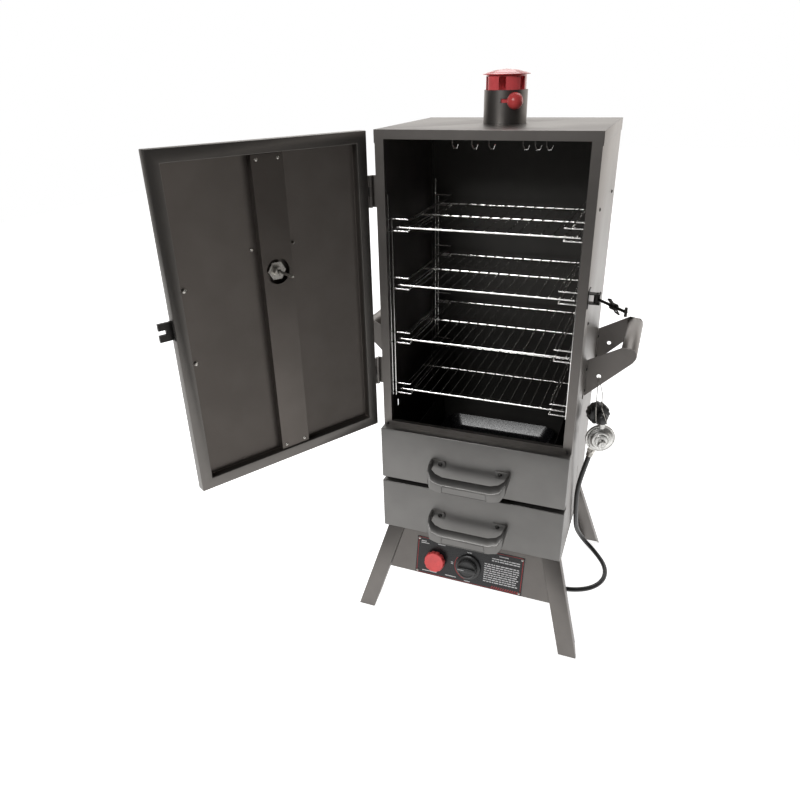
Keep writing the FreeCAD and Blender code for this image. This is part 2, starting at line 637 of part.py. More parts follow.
def handle_grip():
    start = V(GRIP_X, HANDLE_YS[0] + HANDLE_T, GRIP_Z)
    length = HANDLE_YS[1] - HANDLE_YS[0] - HANDLE_T
    tube = Part.makeCylinder(GRIP_R, length, start, Y_AXIS)
    return tube.cut(Part.makeCylinder(GRIP_R - 3, length, start, Y_AXIS))


def latch_bracket():
    """Two ears on the casing's right side with the pin that the bolt swings on."""
    x, y = LATCH_PIN
    foot = box((HALF_W, HALF_W + 2), (y - 16, y + 16), (LATCH_Z - 19, LATCH_Z + 19))
    ears = [box((HALF_W, x + 7), (y - 8, y + 8), (z, z + 2)) for z in (LATCH_Z - 11, LATCH_Z + 9)]
    pin = Part.makeCylinder(2.5, 26, V(x, y, LATCH_Z - 13))
    return fuse([foot, pin] + ears)


def on_latch(shape):
    """Shape drawn along +X from the latch pin, turned to the way the bolt lies."""
    shape.rotate(V(0, 0, 0), Z_AXIS, -LATCH_ANGLE)
    shape.translate(V(LATCH_PIN[0], LATCH_PIN[1], LATCH_Z))
    return shape


def latch_bolt():
    eye = Part.makeCylinder(6.5, 16, V(0, 0, -8))
    shank = rod((4, 0, 0), (LATCH_LENGTH, 0, 0), 6)
    head = rod((LATCH_LENGTH - 2, 0, -9), (LATCH_LENGTH - 2, 0, 9), 6)
    return on_latch(cut(fuse([eye, shank, head]), Part.makeCylinder(2.6, 20, V(0, 0, -10))))


def latch_nut():
    """Wing nut with two open wings, free to spin on the bolt."""
    hub = Part.makeCylinder(7, 13, V(49, 0, 0), X_AXIS)
    parts = [hub]
    for side in (-1, 1):
        route = [(52, 0, side * 5), (49, 0, side * 18), (59, 0, side * 21), (60, 0, side * 5)]
        parts.append(bent_wire(route, 3.5))
    nut = cut(fuse(parts), Part.makeCylinder(3.1, 40, V(30, 0, 0), X_AXIS))
    nut.rotate(V(0, 0, 0), X_AXIS, WING_TURN)
    return on_latch(nut)


# ---------------------------------------------------------------- gas supply
def reg_out():
    angle = math.radians(REG_TURN)
    return V(math.sin(angle), -math.cos(angle), 0)


def regulator():
    """Round die-cast body with a stepped dome, a vent boss and its inlet neck."""
    out = reg_out()
    profile = [(0, -12), (20, -12), (31, -8), (35, -3), (35, 2), (32, 5), (28, 6), (24, 11), (14, 14), (0, 14)]
    disc = turned(profile, REG, out)
    boss = Part.makeCylinder(10.5, 9, REG + out * 12 + V(2, 0, -9), out)
    neck = rod(neck_point(28), neck_point(INLET_Z + 2), 18)
    elbow = Part.makeSphere(12, neck_point(INLET_Z))
    inlet = rod(neck_point(INLET_Z), neck_point(INLET_Z) + inlet_way() * 52, 12)
    end = V(*HOSE_ROUTE[-1])
    outlet = rod(tuple(REG + V(0, 4, 0)), tuple(end + (REG - end) * 0.52), 14)
    return fuse([disc, boss, neck, elbow, inlet, outlet])


def neck_point(height):
    """Point on the neck's axis, at a height over the middle of the disc."""
    return REG - reg_out() * 2 + V(0, 0, height)


def inlet_way():
    return V(INLET_WAY).normalize()


def tank_nut():
    """Hand nut with grip ribs round the inlet, which it turns on."""
    nut = Part.makeCylinder(26, 30, V(0, 0, 0))
    grooves = [Part.makeCylinder(2.2, 40, V(27 * math.cos(a), 27 * math.sin(a), -5))
               for a in (math.radians(30 * i) for i in range(12))]
    nut = cut(nut, Part.makeCylinder(6.05, 60, V(0, 0, -10)), *grooves)
    start = neck_point(INLET_Z) + inlet_way() * 15
    return placed(nut, tuple(start), (0, 0, 1), tuple(inlet_way()))


def ferrule(near, beyond, length):
    """Crimped sleeve on a hose end: near is the end point of the hose, beyond the next point of the route."""
    near, beyond = V(*near), V(*beyond)
    outward = (near - beyond).normalize()
    sleeve = Part.makeCylinder(8.2, length, near, outward)
    collar = Part.makeCylinder(9.5, 6, near + outward * (length * 0.4), outward)
    return fuse([sleeve, collar])


def hanger_wire():
    """Closed loop of thin wire through the handle's hole and behind the regulator's neck."""
    y, z = HANDLE_YS[0] + HANDLE_T / 2, EYE_Z - 2.1
    neck = neck_point(38)
    turns = [math.radians(45 * i) for i in range(5)]
    collar = [tuple(neck + V(-12 * math.cos(a), 12 * math.sin(a), 0)) for a in turns]
    down = [(EYE_X, y - 5, z), (263, neck.y - 15, 620), (266.5, neck.y - 12.5, 583)]
    back_up = [(291, neck.y - 13, 583), (276, neck.y - 15, 620), (272, y + 4, 642), (EYE_X, y + 5, z), down[0]]
    return bent_wire(down + collar + back_up, 1.6)


def cabinet_bolts():
    right = []
    for y in (60, 291):
        right += [(HALF_W, y, 1076), (HALF_W, y, 836)]
    for y in HANDLE_YS:
        right += [(HALF_W + HANDLE_T, y - 8, z) for z in (650, 704)]
    heads = screw_heads(right, (1, 0, 0))
    heads += [mirror_x(h) for h in heads]
    heads += screw_heads([(219, 0, 548.4), (-219, 0, 548.4)], (0, -1, 0), 2.8, 2)
    return Part.makeCompound(heads)


def plate_screws():
    half_w = PLATE_W / 2 - 6
    corners = [(x, z) for x in (-half_w, half_w) for z in (-PLATE_H / 2 + 11, PLATE_H / 2 - 1)]
    profile = [(0, 1), (3.5, 1), (2.5, 3), (0, 3.4)]
    return Part.makeCompound([on_panel(turned(profile, (x, z, 0), (0, 0, 1)), 0) for x, z in corners])


def build_nodes():
    nodes = {
        "side_panel_right": side_panel(),
        "side_panel_left": mirror_x(side_panel()),
        "back_panel": box((-HALF_W + SHEET, HALF_W - SHEET), (DEPTH - SHEET, DEPTH), (BOTTOM_Z, TOP_Z - SHEET)),
        "top_panel": top_panel(),
        "front_frame": front_frame(),
        "bottom_panel": bottom_panel(),
        "drawer_runners": drawer_runners(),
        "hook_strips": hook_strips(),
        "rack_ladders": both_sides(rack_ladder()),
        "chimney_tube": chimney_tube(),
        "hinge_cabinet_leaves": hinge_cabinet_leaves(),
        "latch_bracket": latch_bracket(),
        "side_handle_plates": both_sides(Part.makeCompound([handle_plate(y) for y in HANDLE_YS])),
        "side_handle_grips": both_sides(handle_grip()),
        "burner_shroud": burner_shroud(),
        "control_panel": control_panel(),
        "label_plate": label_plate(),
        "gas_valve": gas_valve(),
        "burner": burner(),
        "igniter_body": igniter_body(),
        "igniter_electrode": igniter_electrode(),
        "cabinet_bolts": cabinet_bolts(),
        "plate_screws": plate_screws(),
        "damper_sleeve": damper_sleeve(),
        "damper_knob": damper_knob(),
        "burner_knob": burner_knob(),
        "igniter_button": igniter_button(),
        "latch_bolt": latch_bolt(),
        "latch_nut": latch_nut(),
        "regulator": regulator(),
        "tank_nut": tank_nut(),
        "hanger_wire": hanger_wire(),
        "hose_ferrule_regulator": ferrule(HOSE_ROUTE[-1], HOSE_ROUTE[-2], 20),
        "hose_ferrule_valve": ferrule(HOSE_ROUTE[0], HOSE_ROUTE[1], 22),
        "water_pan": open_pan(147, (22, 296), (FRONT_Z0[0] + 5 + SHEET + 0.05, 446), 6),
        "chip_box": chip_box(),
    }
    for row, front in (("front", True), ("rear", False)):
        for side, right in (("left", False), ("right", True)):
            nodes[f"leg_{row}_{side}"] = leg(front, right)
    for name, z0 in zip(("upper", "lower"), FRONT_Z0):
        nodes[f"{name}_drawer_front"] = drawer_front(z0)
        nodes[f"{name}_drawer_tray"] = drawer_tray(z0)
        nodes[f"{name}_drawer_pull"] = drawer_pull(z0)
    grid = rack()
    for number, z in enumerate(RACK_ZS, 1):
        nodes[f"rack_{number}"] = grid.translated(V(0, 0, z))
    for make in (door_shell, door_liner, door_channel, thermometer_case, thermometer_nut, door_handle,
                 door_keeper, hinge_door_leaves, door_screws):
        nodes[make.__name__] = opened(make())
    return nodes


def main():
    os.makedirs("parts", exist_ok=True)
    nodes = build_nodes()
    tube, length, radii = swept_tube(HOSE_ROUTE, HOSE_D)
    section = math.pi * HOSE_D ** 2 / 4
    print("hose length %.1f mm, volume / (section x length) %.4f" % (length, tube.Volume / section / length))
    print("hose bend radii", [round(r) for r in radii])
    nodes["gas_hose"] = tube
    on_cord = ("gas_hose", "regulator", "tank_nut", "hose_ferrule_regulator", "hanger_wire")
    whole = FreeCAD.BoundBox()
    for name, shape in nodes.items():
        if name not in on_cord:
            whole.add(shape.BoundBox)
    shift = V(-whole.Center.x, -whole.Center.y, 0)
    print("origin shift", json.dumps([round(shift.x, 3), round(shift.y, 3)]))
    print("size %.1f x %.1f x %.1f, floor at %.3f" % (whole.XLength, whole.YLength, whole.ZMax, whole.ZMin))
    for name, shape in nodes.items():
        if not shape.isValid():
            print("NOT VALID", name)
        shape = shape.translated(shift)
        shape.exportStep(f"parts/{name}.step")
    print(len(nodes), "nodes")


main()
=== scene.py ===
"""The looks of a gas cabinet smoker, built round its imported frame.

Lengths are in millimetres about the cabinet: x from the middle of its width, y back from its front frame,
z up from the floor. spot() turns them into the frame's metres.
"""

import json
import math

import bmesh
import bpy
from mathutils import Matrix, Vector


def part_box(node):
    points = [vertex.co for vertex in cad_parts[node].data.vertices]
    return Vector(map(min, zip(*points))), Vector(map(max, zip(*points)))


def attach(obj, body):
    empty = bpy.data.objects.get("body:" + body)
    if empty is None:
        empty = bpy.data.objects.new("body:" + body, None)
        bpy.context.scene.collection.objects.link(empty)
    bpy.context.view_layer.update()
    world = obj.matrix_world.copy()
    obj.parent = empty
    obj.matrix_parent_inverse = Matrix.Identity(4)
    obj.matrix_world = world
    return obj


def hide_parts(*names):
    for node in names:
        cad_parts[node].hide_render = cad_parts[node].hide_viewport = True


MM = 0.001

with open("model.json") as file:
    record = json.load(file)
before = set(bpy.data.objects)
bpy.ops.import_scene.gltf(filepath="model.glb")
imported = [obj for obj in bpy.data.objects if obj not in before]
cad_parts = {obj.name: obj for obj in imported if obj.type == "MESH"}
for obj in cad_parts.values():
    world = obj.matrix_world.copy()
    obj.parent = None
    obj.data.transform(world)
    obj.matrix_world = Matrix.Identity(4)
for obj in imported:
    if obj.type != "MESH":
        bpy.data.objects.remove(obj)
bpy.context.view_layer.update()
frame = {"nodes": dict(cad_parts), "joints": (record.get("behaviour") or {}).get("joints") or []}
nodes = frame["nodes"]
joints = {joint["name"]: joint for joint in frame["joints"]}
frame_low, frame_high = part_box("front_frame")
MIDDLE_X = (frame_low.x + frame_high.x) / 2
FRONT_Y = frame_low.y


def spot(x, y, z):
    """A place about the cabinet, in the frame's metres."""
    return Vector((MIDDLE_X + x * MM, FRONT_Y + y * MM, z * MM))


def about(place):
    """The same, from the frame's metres to millimetres about the cabinet."""
    return Vector(((place[0] - MIDDLE_X) / MM, (place[1] - FRONT_Y) / MM, place[2] / MM))


CABINET_SPACE = Matrix.Translation(spot(0, 0, 0)) @ Matrix.Scale(MM, 4)

# ---------------------------------------------------------------- camera
VIEW_AZIMUTH = math.radians(21.92)
VIEW_DOWN = math.radians(25.98)
VIEW_ROLL = math.radians(-1.433)
CAMERA_PLACE = (364.4, -1368.2, 1335.0)
LENS = 30.456


def add_camera():
    back = Vector((math.sin(VIEW_AZIMUTH) * math.cos(VIEW_DOWN),
                   -math.cos(VIEW_AZIMUTH) * math.cos(VIEW_DOWN),
                   math.sin(VIEW_DOWN)))
    level = Vector((math.cos(VIEW_AZIMUTH), math.sin(VIEW_AZIMUTH), 0))
    upright = back.cross(level)
    right = math.cos(VIEW_ROLL) * level + math.sin(VIEW_ROLL) * upright
    up = -math.sin(VIEW_ROLL) * level + math.cos(VIEW_ROLL) * upright
    turn = Matrix((right, up, back)).transposed().to_4x4()
    data = bpy.data.cameras.new("camera")
    data.sensor_width = 36
    data.lens = LENS
    data.clip_start = 0.02
    camera = bpy.data.objects.new("camera", data)
    camera.matrix_world = Matrix.Translation(spot(*CAMERA_PLACE)) @ turn
    bpy.context.scene.collection.objects.link(camera)
    bpy.context.scene.camera = camera


# ---------------------------------------------------------------- finishes
def finish_base(name, colour, roughness, metallic=0.0, **sockets):
    """A material with a Principled shader, and its node tree's parts."""
    material = bpy.data.materials.new(name)
    material.use_nodes = True
    tree = material.node_tree
    shader = tree.nodes["Principled BSDF"]
    shader.inputs["Base Color"].default_value = (*colour, 1)
    shader.inputs["Roughness"].default_value = roughness
    shader.inputs["Metallic"].default_value = metallic
    for socket, value in sockets.items():
        shader.inputs[socket.replace("_", " ")].default_value = value
    return material, tree, shader


def object_noise(tree, scale, detail=3.0):
    """Noise on the object's own coordinates."""
    place = tree.nodes.new("ShaderNodeTexCoord")
    noise = tree.nodes.new("ShaderNodeTexNoise")
    noise.inputs["Scale"].default_value = scale
    noise.inputs["Detail"].default_value = detail
    tree.links.new(place.outputs["Object"], noise.inputs["Vector"])
    return noise.outputs["Fac"]


def spread(tree, value, low, high, span=(0.3, 0.7)):
    """A grey value stretched between two numbers."""
    remap = tree.nodes.new("ShaderNodeMapRange")
    remap.inputs["From Min"].default_value = span[0]
    remap.inputs["From Max"].default_value = span[1]
    remap.inputs["To Min"].default_value = low
    remap.inputs["To Max"].default_value = high
    tree.links.new(value, remap.inputs["Value"])
    return remap.outputs["Result"]


def two_tone(tree, value, first, second, span=(0.35, 0.65)):
    """A colour that wanders between two, by a grey value."""
    ramp = tree.nodes.new("ShaderNodeValToRGB")
    ramp.color_ramp.elements[0].position = span[0]
    ramp.color_ramp.elements[0].color = (*first, 1)
    ramp.color_ramp.elements[1].position = span[1]
    ramp.color_ramp.elements[1].color = (*second, 1)
    tree.links.new(value, ramp.inputs["Fac"])
    return ramp.outputs["Color"]


def grain(tree, shader, value, strength, depth):
    """Fine relief from a grey value."""
    bump = tree.nodes.new("ShaderNodeBump")
    bump.inputs["Strength"].default_value = strength
    bump.inputs["Distance"].default_value = depth
    tree.links.new(value, bump.inputs["Height"])
    tree.links.new(bump.outputs["Normal"], shader.inputs["Normal"])


def powder_coat(name, colour, roughness=0.4, sheen_of_metal=0.9, fleck=0.05):
    """Baked metallic coat with an orange-peel skin, faint handling marks and slightly uneven colour."""
    material, tree, shader = finish_base(name, colour, roughness, sheen_of_metal)
    dull = tuple(c * (1 - fleck) for c in colour)
    bright = tuple(c * (1 + fleck) for c in colour)
    tree.links.new(two_tone(tree, object_noise(tree, 14, 4), dull, bright), shader.inputs["Base Color"])
    cloud = object_noise(tree, 9, 4)
    tree.links.new(spread(tree, cloud, roughness - 0.015, roughness + 0.015), shader.inputs["Roughness"])
    grain(tree, shader, object_noise(tree, 900, 2), 0.15, 0.0003)
    return material


def bare_metal(name, colour, roughness, relief=0.08):
    """Metal with a fine worked or cast skin and uneven polish."""
    material, tree, shader = finish_base(name, colour, roughness, 1.0)
    marks = object_noise(tree, 420, 3)
    tree.links.new(spread(tree, marks, roughness * 0.75, roughness * 1.3), shader.inputs["Roughness"])
    shade = two_tone(tree, object_noise(tree, 60, 3), tuple(c * 0.86 for c in colour), colour)
    tree.links.new(shade, shader.inputs["Base Color"])
    grain(tree, shader, marks, relief, 0.0003)
    return material


def moulded(name, colour, roughness, grain_scale=700, relief=0.1, **sockets):
    """Plastic, enamel or rubber with a fine moulded skin."""
    material, tree, shader = finish_base(name, colour, roughness, **sockets)
    tone = two_tone(tree, object_noise(tree, 45, 3), tuple(c * 0.85 for c in colour), colour)
    tree.links.new(tone, shader.inputs["Base Color"])
    skin = object_noise(tree, grain_scale, 2)
    tree.links.new(spread(tree, skin, roughness * 0.85, roughness * 1.15), shader.inputs["Roughness"])
    grain(tree, shader, skin, relief, 0.0003)
    return material


CASING = powder_coat("casing_coat", (0.18, 0.168, 0.158), 0.4)
# Darker copy of the casing coat for the chamber's walls, floor, trays and runners: painted shade for the dark
# inside of the cabinet.
CHAMBER_SHADE_COAT = powder_coat("chamber_painted_shade_coat", (0.05, 0.048, 0.045), 0.5, 0.7)
DOOR_OUT = powder_coat("door_coat", (0.15, 0.141, 0.132), 0.4)
# Darker copy of the door's coat for its inner face and channel: painted shade.
DOOR_SHADED_INNER = powder_coat("door_inner_painted_shade_coat", (0.12, 0.107, 0.097), 0.4)
DRAWER = powder_coat("drawer_coat", (0.165, 0.161, 0.155), 0.4)
PULL = powder_coat("pull_coat", (0.17, 0.166, 0.16), 0.36)
CHROME = bare_metal("chrome_plate", (0.82, 0.81, 0.79), 0.16, relief=0.02)
RED_ENAMEL = moulded("red_enamel", (0.9, 0.12, 0.13), 0.26, relief=0.04, Coat_Weight=0.4)
RED_PLASTIC = moulded("red_plastic", (0.86, 0.1, 0.1), 0.3, relief=0.06)
BLACK_PLASTIC = moulded("black_plastic", (0.045, 0.045, 0.045), 0.34)
LABEL_BLACK = moulded("label_black", (0.014, 0.014, 0.015), 0.3, relief=0.03)
PRINT_GREY = moulded("print_grey", (0.66, 0.66, 0.66), 0.5, relief=0.02)
PRINT_RED = moulded("print_red", (0.4, 0.02, 0.02), 0.45, relief=0.02)
BOLT_STEEL = bare_metal("zinc_plated_steel", (0.6, 0.58, 0.54), 0.32)
BLACK_OXIDE = bare_metal("black_oxide", (0.05, 0.048, 0.046), 0.42)
CAST_ZINC = bare_metal("cast_zinc", (0.78, 0.775, 0.75), 0.42, relief=0.2)
BRASS = bare_metal("brass", (0.72, 0.52, 0.24), 0.3)
CAST_IRON = powder_coat("cast_iron", (0.03, 0.028, 0.027), 0.7, 0.2, 0.3)
RUBBER = moulded("hose_rubber", (0.028, 0.028, 0.028), 0.4, 500, 0.15)
CERAMIC = moulded("ceramic", (0.8, 0.79, 0.75), 0.25)
PAN_ENAMEL = moulded("pan_enamel", (0.006, 0.006, 0.007), 0.28, 300, 0.03)
DIAL_WHITE = moulded("dial_white", (0.78, 0.78, 0.75), 0.5, relief=0.01)
LENS_GLASS, _, _ = finish_base("dial_lens", (1, 1, 1), 0.03, Transmission_Weight=1.0)

# CAD nodes that show as they are, and the finish of each
NODE_FINISH = {
    CASING: ["chimney_tube", "side_handle_plates", "hinge_cabinet_leaves", "burner_shroud", "control_panel"],
    # the parts inside the chamber take the darker coat that paints their shade
    CHAMBER_SHADE_COAT: ["back_panel", "bottom_panel", "drawer_runners", "upper_drawer_tray", "lower_drawer_tray"],
    DOOR_OUT: ["hinge_door_leaves"],
    # the door's channel takes the darker inner coat, painted shade
    DOOR_SHADED_INNER: ["door_channel"],
    CHROME: ["hook_strips", "rack_ladders", "rack_1", "rack_2", "rack_3", "rack_4"],
    RED_ENAMEL: ["damper_sleeve"],
    BLACK_PLASTIC: ["igniter_body"],
    LABEL_BLACK: ["label_plate"],
    BOLT_STEEL: ["plate_screws", "door_screws", "thermometer_nut", "hanger_wire"],
    BLACK_OXIDE: ["cabinet_bolts", "latch_bracket", "latch_bolt", "latch_nut", "door_keeper"],
    BRASS: ["gas_valve"],
    CAST_IRON: ["burner"],
    CERAMIC: ["igniter_electrode"],
    PAN_ENAMEL: ["chip_box"],
}


# ---------------------------------------------------------------- making pieces
def ease(bm, width, segments=2, sharper_than=30.0):
    """Rounds every edge that turns by more than an angle."""
    limit = math.radians(sharper_than)
    sharp = [edge for edge in bm.edges if edge.is_manifold and edge.calc_face_angle() > limit]
    bmesh.ops.bevel(bm, geom=sharp, offset=width, segments=segments, profile=0.5, affect="EDGES",
                    material=-1, clamp_overlap=True)


def soften(bm, edges, width, segments):
    """Rounds chosen edges, and returns what the bevel made."""
    return bmesh.ops.bevel(bm, geom=edges, offset=width, segments=segments, profile=0.5, affect="EDGES",
                           material=-1)


def edges_between(bm, verts):
    """The edges with both ends among some vertices."""
    return [e for e in bm.edges if all(v in verts for v in e.verts)]


def piece(bm, name, body, material, space=CABINET_SPACE, stands_for=(), smooth=35.0):
    """Places a bmesh, drawn in millimetres, and hands it to the frame."""
    bmesh.ops.remove_doubles(bm, verts=bm.verts, dist=0.002)
    bmesh.ops.recalc_face_normals(bm, faces=bm.faces)
    bmesh.ops.transform(bm, matrix=space, verts=bm.verts)
    mesh = bpy.data.meshes.new(name)
    bm.to_mesh(mesh)
    bm.free()
    mesh.materials.append(material)
    mesh.shade_smooth()
    mesh.set_sharp_from_angle(angle=math.radians(smooth))
    made = bpy.data.objects.new(name, mesh)
    bpy.context.scene.collection.objects.link(made)
    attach(made, body)
    if stands_for:
        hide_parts(*stands_for)
    return made


def block(bm, low, high):
    """A box between two corners. Returns its vertices."""
    size = [b - a for a, b in zip(low, high)]
    middle = [(a + b) / 2 for a, b in zip(low, high)]
    fit = Matrix.Translation(middle) @ Matrix.Diagonal((*size, 1))
    return bmesh.ops.create_cube(bm, size=1, matrix=fit)["verts"]


def faces_towards(bm, direction, within=0.9):
    """The faces that look along a direction."""
    bm.normal_update()
    way = Vector(direction)
    return [face for face in bm.faces if face.normal.dot(way) > within]


def turn_profile(bm, profile, place=(0, 0, 0), axis=(0, 0, 1), steps=48):
    """Spins (radius, height) points about an axis through a place."""
    stand = Matrix.Translation(place) @ Vector(axis).to_track_quat("Z", "Y").to_matrix().to_4x4()
    line = [bm.verts.new(stand @ Vector((radius, 0, height))) for radius, height in profile]
    edges = [bm.edges.new(pair) for pair in zip(line, line[1:])]
    bmesh.ops.spin(bm, geom=line + edges, cent=place, axis=Vector(axis).normalized(), angle=math.tau,
                   steps=steps, use_merge=True)
    bmesh.ops.remove_doubles(bm, verts=bm.verts, dist=0.001)


def eased_node(node, body, material, width=0.6):
    """A CAD node's own shape with its sheet edges rounded."""
    bm = bmesh.new()
    bm.from_mesh(nodes[node].data)
    bmesh.ops.transform(bm, matrix=CABINET_SPACE.inverted(), verts=bm.verts)
    bmesh.ops.remove_doubles(bm, verts=bm.verts, dist=0.005)
    bmesh.ops.dissolve_limit(bm, angle_limit=math.radians(0.5), verts=bm.verts, edges=bm.edges)
    ease(bm, width)
    piece(bm, f"{node}_sheet", body, material, stands_for=[node])


# ---------------------------------------------------------------- gas hose
HOSE_ROUTE = [
    (100, 46, 136), (146, 47, 126), (200, 50, 113), (258, 55, 110), (308, 80, 111),
    (334, 126, 111), (330, 182, 110), (296, 226, 118), (257, 232, 151), (241, 203, 200),
    (240, 168, 254), (239, 142, 312), (239, 128, 372), (248, 121, 430), (259, 119, 481),
]
HOSE_ACROSS = 12.0


def add_hose():
    data = bpy.data.curves.new("gas_hose_line", "CURVE")
    data.dimensions = "3D"
    spline = data.splines.new("NURBS")
    spline.points.add(len(HOSE_ROUTE) - 1)
    for point, place in zip(spline.points, HOSE_ROUTE):
        point.co = (*spot(*place), 1)
    spline.order_u = 3
    spline.use_endpoint_u = True
    spline.resolution_u = 10
    data.bevel_depth = HOSE_ACROSS * MM / 2
    data.bevel_resolution = 6
    data.materials.append(RUBBER)
    hose = bpy.data.objects.new("gas_hose_rubber", data)
    bpy.context.scene.collection.objects.link(hose)
    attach(hose, "cabinet")
    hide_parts("gas_hose")


def add_ferrules():
    """Crimped sleeves with a hexagon collar on both ends of the hose."""
    made = []
    ends = (("valve", HOSE_ROUTE[0], HOSE_ROUTE[1], 22), ("regulator", HOSE_ROUTE[-1], HOSE_ROUTE[-2], 20))
    for name, end, beyond, length in ends:
        outward = (Vector(end) - Vector(beyond)).normalized()
        bm = bmesh.new()
        profile = [(0, 0), (7.9, 0), (8.3, 1)]
        for groove in range(3):
            z = 2.2 + groove * 3.2
            profile += [(8.3, z), (7.6, z + 0.8), (7.6, z + 1.6), (8.3, z + 2.4)]
        profile += [(8.3, length - 7), (7.2, length - 6), (7.2, length), (0, length)]
        turn_profile(bm, profile, end, outward, 32)
        stand = outward.to_track_quat("Z", "Y").to_matrix().to_4x4()
        collar = Matrix.Translation(Vector(end) + outward * (length - 4.5)) @ stand
        bmesh.ops.create_cone(bm, cap_ends=True, segments=6, radius1=9.6, radius2=9.6, depth=6, matrix=collar)
        made.append(piece(bm, f"hose_ferrule_{name}_crimp", "cabinet", BOLT_STEEL,
                          stands_for=[f"hose_ferrule_{name}"]))
    return made


# ---------------------------------------------------------------- drawers
FRONT_HALF_W, FRONT_FACE_Y, FRONT_BACK_Y, FRONT_H = 229.0, -25.0, -0.5, 139.0
DRAWERS = (("upper", 406.0), ("lower", 256.0))
PULL_HALF = 73.5


def add_drawer_front(name, low_z):
    """Folded front: face, four returns and rounded folds."""
    bm = bmesh.new()
    block(bm, (-FRONT_HALF_W, FRONT_FACE_Y, low_z), (FRONT_HALF_W, FRONT_BACK_Y, low_z + FRONT_H))
    bmesh.ops.delete(bm, geom=faces_towards(bm, (0, 1, 0)), context="FACES")
    ease(bm, 2.4, 4)
    bmesh.ops.recalc_face_normals(bm, faces=bm.faces)
    bmesh.ops.solidify(bm, geom=bm.faces[:], thickness=1.5)
    piece(bm, f"{name}_drawer_folded_front", f"{name}_drawer", DRAWER,
          stands_for=[f"{name}_drawer_front"])


# sections of half a pull, from its foot to the grip: outer top, outer bottom, inner bottom, inner top
PULL_SECTIONS = [
    [(98.5, -0.5, 10), (98.5, -0.5, -9), (92.5, -0.5, -9), (92.5, -0.5, 10)],
    [(98, -22, 6), (98, -22, -15), (92, -22, -14), (92, -22, 7)],
    [(95.5, -38, -3), (95.5, -40, -31), (89.5, -33, -26), (88.5, -28, 0)],
    [(84, -50.5, -20), (86, -51.5, -43), (79, -41, -41), (77, -33, -8)],
    [(62, -53, -26), (64, -53, -48), (60, -42, -47), (58, -35.5, -13)],
]


def add_pull(name, body, space, node):
    """Cast handle: level arms that turn down into a deep grip with a recessed panel, on two bolted feet."""
    far = [[(-x, y, z) for x, y, z in section] for section in reversed(PULL_SECTIONS)]
    bm = bmesh.new()
    end = bm.faces.new([bm.verts.new(place) for place in PULL_SECTIONS[0]])
    for section in PULL_SECTIONS[1:] + far:
        end = bmesh.ops.extrude_discrete_faces(bm, faces=[end])["faces"][0]
        for vert, place in zip(end.verts, section):
            vert.co = place
    bmesh.ops.holes_fill(bm, edges=[e for e in bm.edges if e.is_boundary])
    bmesh.ops.recalc_face_normals(bm, faces=bm.faces)
    ease(bm, 1.4, 3, 25)
    face = max(faces_towards(bm, (0, -1, 0), 0.99), key=lambda f: f.calc_area())
    bmesh.ops.inset_region(bm, faces=[face], thickness=1.2)
    bmesh.ops.scale(bm, vec=(0.88, 1, 1), verts=face.verts)
    bmesh.ops.inset_region(bm, faces=[face], thickness=1.3, depth=-2.2)
    bmesh.ops.inset_region(bm, faces=[face], thickness=0.05, depth=1.9)
    for side in (-1, 1):
        near, away = sorted((side * (PULL_HALF - 12), side * (PULL_HALF + 25)))
        foot = block(bm, (near, -4, -10), (away, -0.02, 10))
        corners = [e for e in edges_between(bm, foot) if abs((e.verts[0].co - e.verts[1].co).y) > 1]
        soften(bm, corners, 5, 4)
    piece(bm, name, body, PULL, space, [node], 40)
    bm = bmesh.new()
    for side in (-1, 1):
        turn_profile(bm, [(0, 4), (5.6, 4), (5.2, 5.8), (3.6, 7.2), (2.2, 7.5), (2.0, 6), (0, 6)],
                     (side * PULL_HALF, 0, 0), (0, -1, 0), 24)
    piece(bm, f"{name}_bolts", body, BLACK_OXIDE, space)


def add_pan():
    """Drawn water pan with rounded corners and a rolled rim."""
    low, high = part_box("water_pan")
    low, high = about(low), about(high)
    bm = bmesh.new()
    block(bm, (low.x + 6, low.y + 6, low.z + 1.4), (high.x - 6, high.y - 6, high.z))
    bmesh.ops.delete(bm, geom=faces_towards(bm, (0, 0, 1)), context="FACES")
    floor = faces_towards(bm, (0, 0, -1))[0]
    middle = floor.calc_center_median()
    bmesh.ops.scale(bm, vec=(0.9, 0.89, 1), verts=floor.verts, space=Matrix.Translation(-middle))
    uprights = [e for e in bm.edges if abs(e.verts[0].co.z - e.verts[1].co.z) > 5]
    soften(bm, uprights, 26, 6)
    foot = [e for e in bm.edges if max(v.co.z for v in e.verts) < low.z + 2]
    soften(bm, foot, 7, 4)
    edge = [e for e in bm.edges if e.is_boundary]
    for out, drop in ((4.5, 0.0), (6.0, -1.2), (5.8, -3.4)):
        grown = bmesh.ops.extrude_edge_only(bm, edges=edge)["geom"]
        rim = [item for item in grown if isinstance(item, bmesh.types.BMVert)]
        edge = [item for item in grown if isinstance(item, bmesh.types.BMEdge)]
        half = (high - low) / 2
        for vert in rim:
            away = Vector((vert.co.x / half.x, (vert.co.y - middle.y) / half.y, 0))
            vert.co.x += math.copysign(min(1, abs(away.x) ** 6 + 0.02), away.x) * (out / 3)
            vert.co.y += math.copysign(min(1, abs(away.y) ** 6 + 0.02), away.y) * (out / 3)
            vert.co.z = high.z - 0.4 + drop
    bmesh.ops.solidify(bm, geom=bm.faces[:], thickness=0.9)
    piece(bm, "water_pan_drawn", "upper_drawer", PAN_ENAMEL, stands_for=["water_pan"],
          smooth=50)


# ---------------------------------------------------------------- door
swing = joints["door_swing"]
hinge_pin = Vector((swing["pos_m"][0], swing["pos_m"][1], 0))
OPENED = (Matrix.Translation(hinge_pin) @ Matrix.Rotation(math.radians(swing["range_deg"][0]), 4, "Z")
          @ Matrix.Translation(-hinge_pin) @ CABINET_SPACE)
DOOR_LOW = (-230.5, -23.5, 552.0)
DOOR_HIGH = (229.5, -1.5, 1226.0)
DOOR_RIM, DOOR_RECESS = 24.0, 18.0
DIAL_X, DIAL_Z = -0.5, 977.0


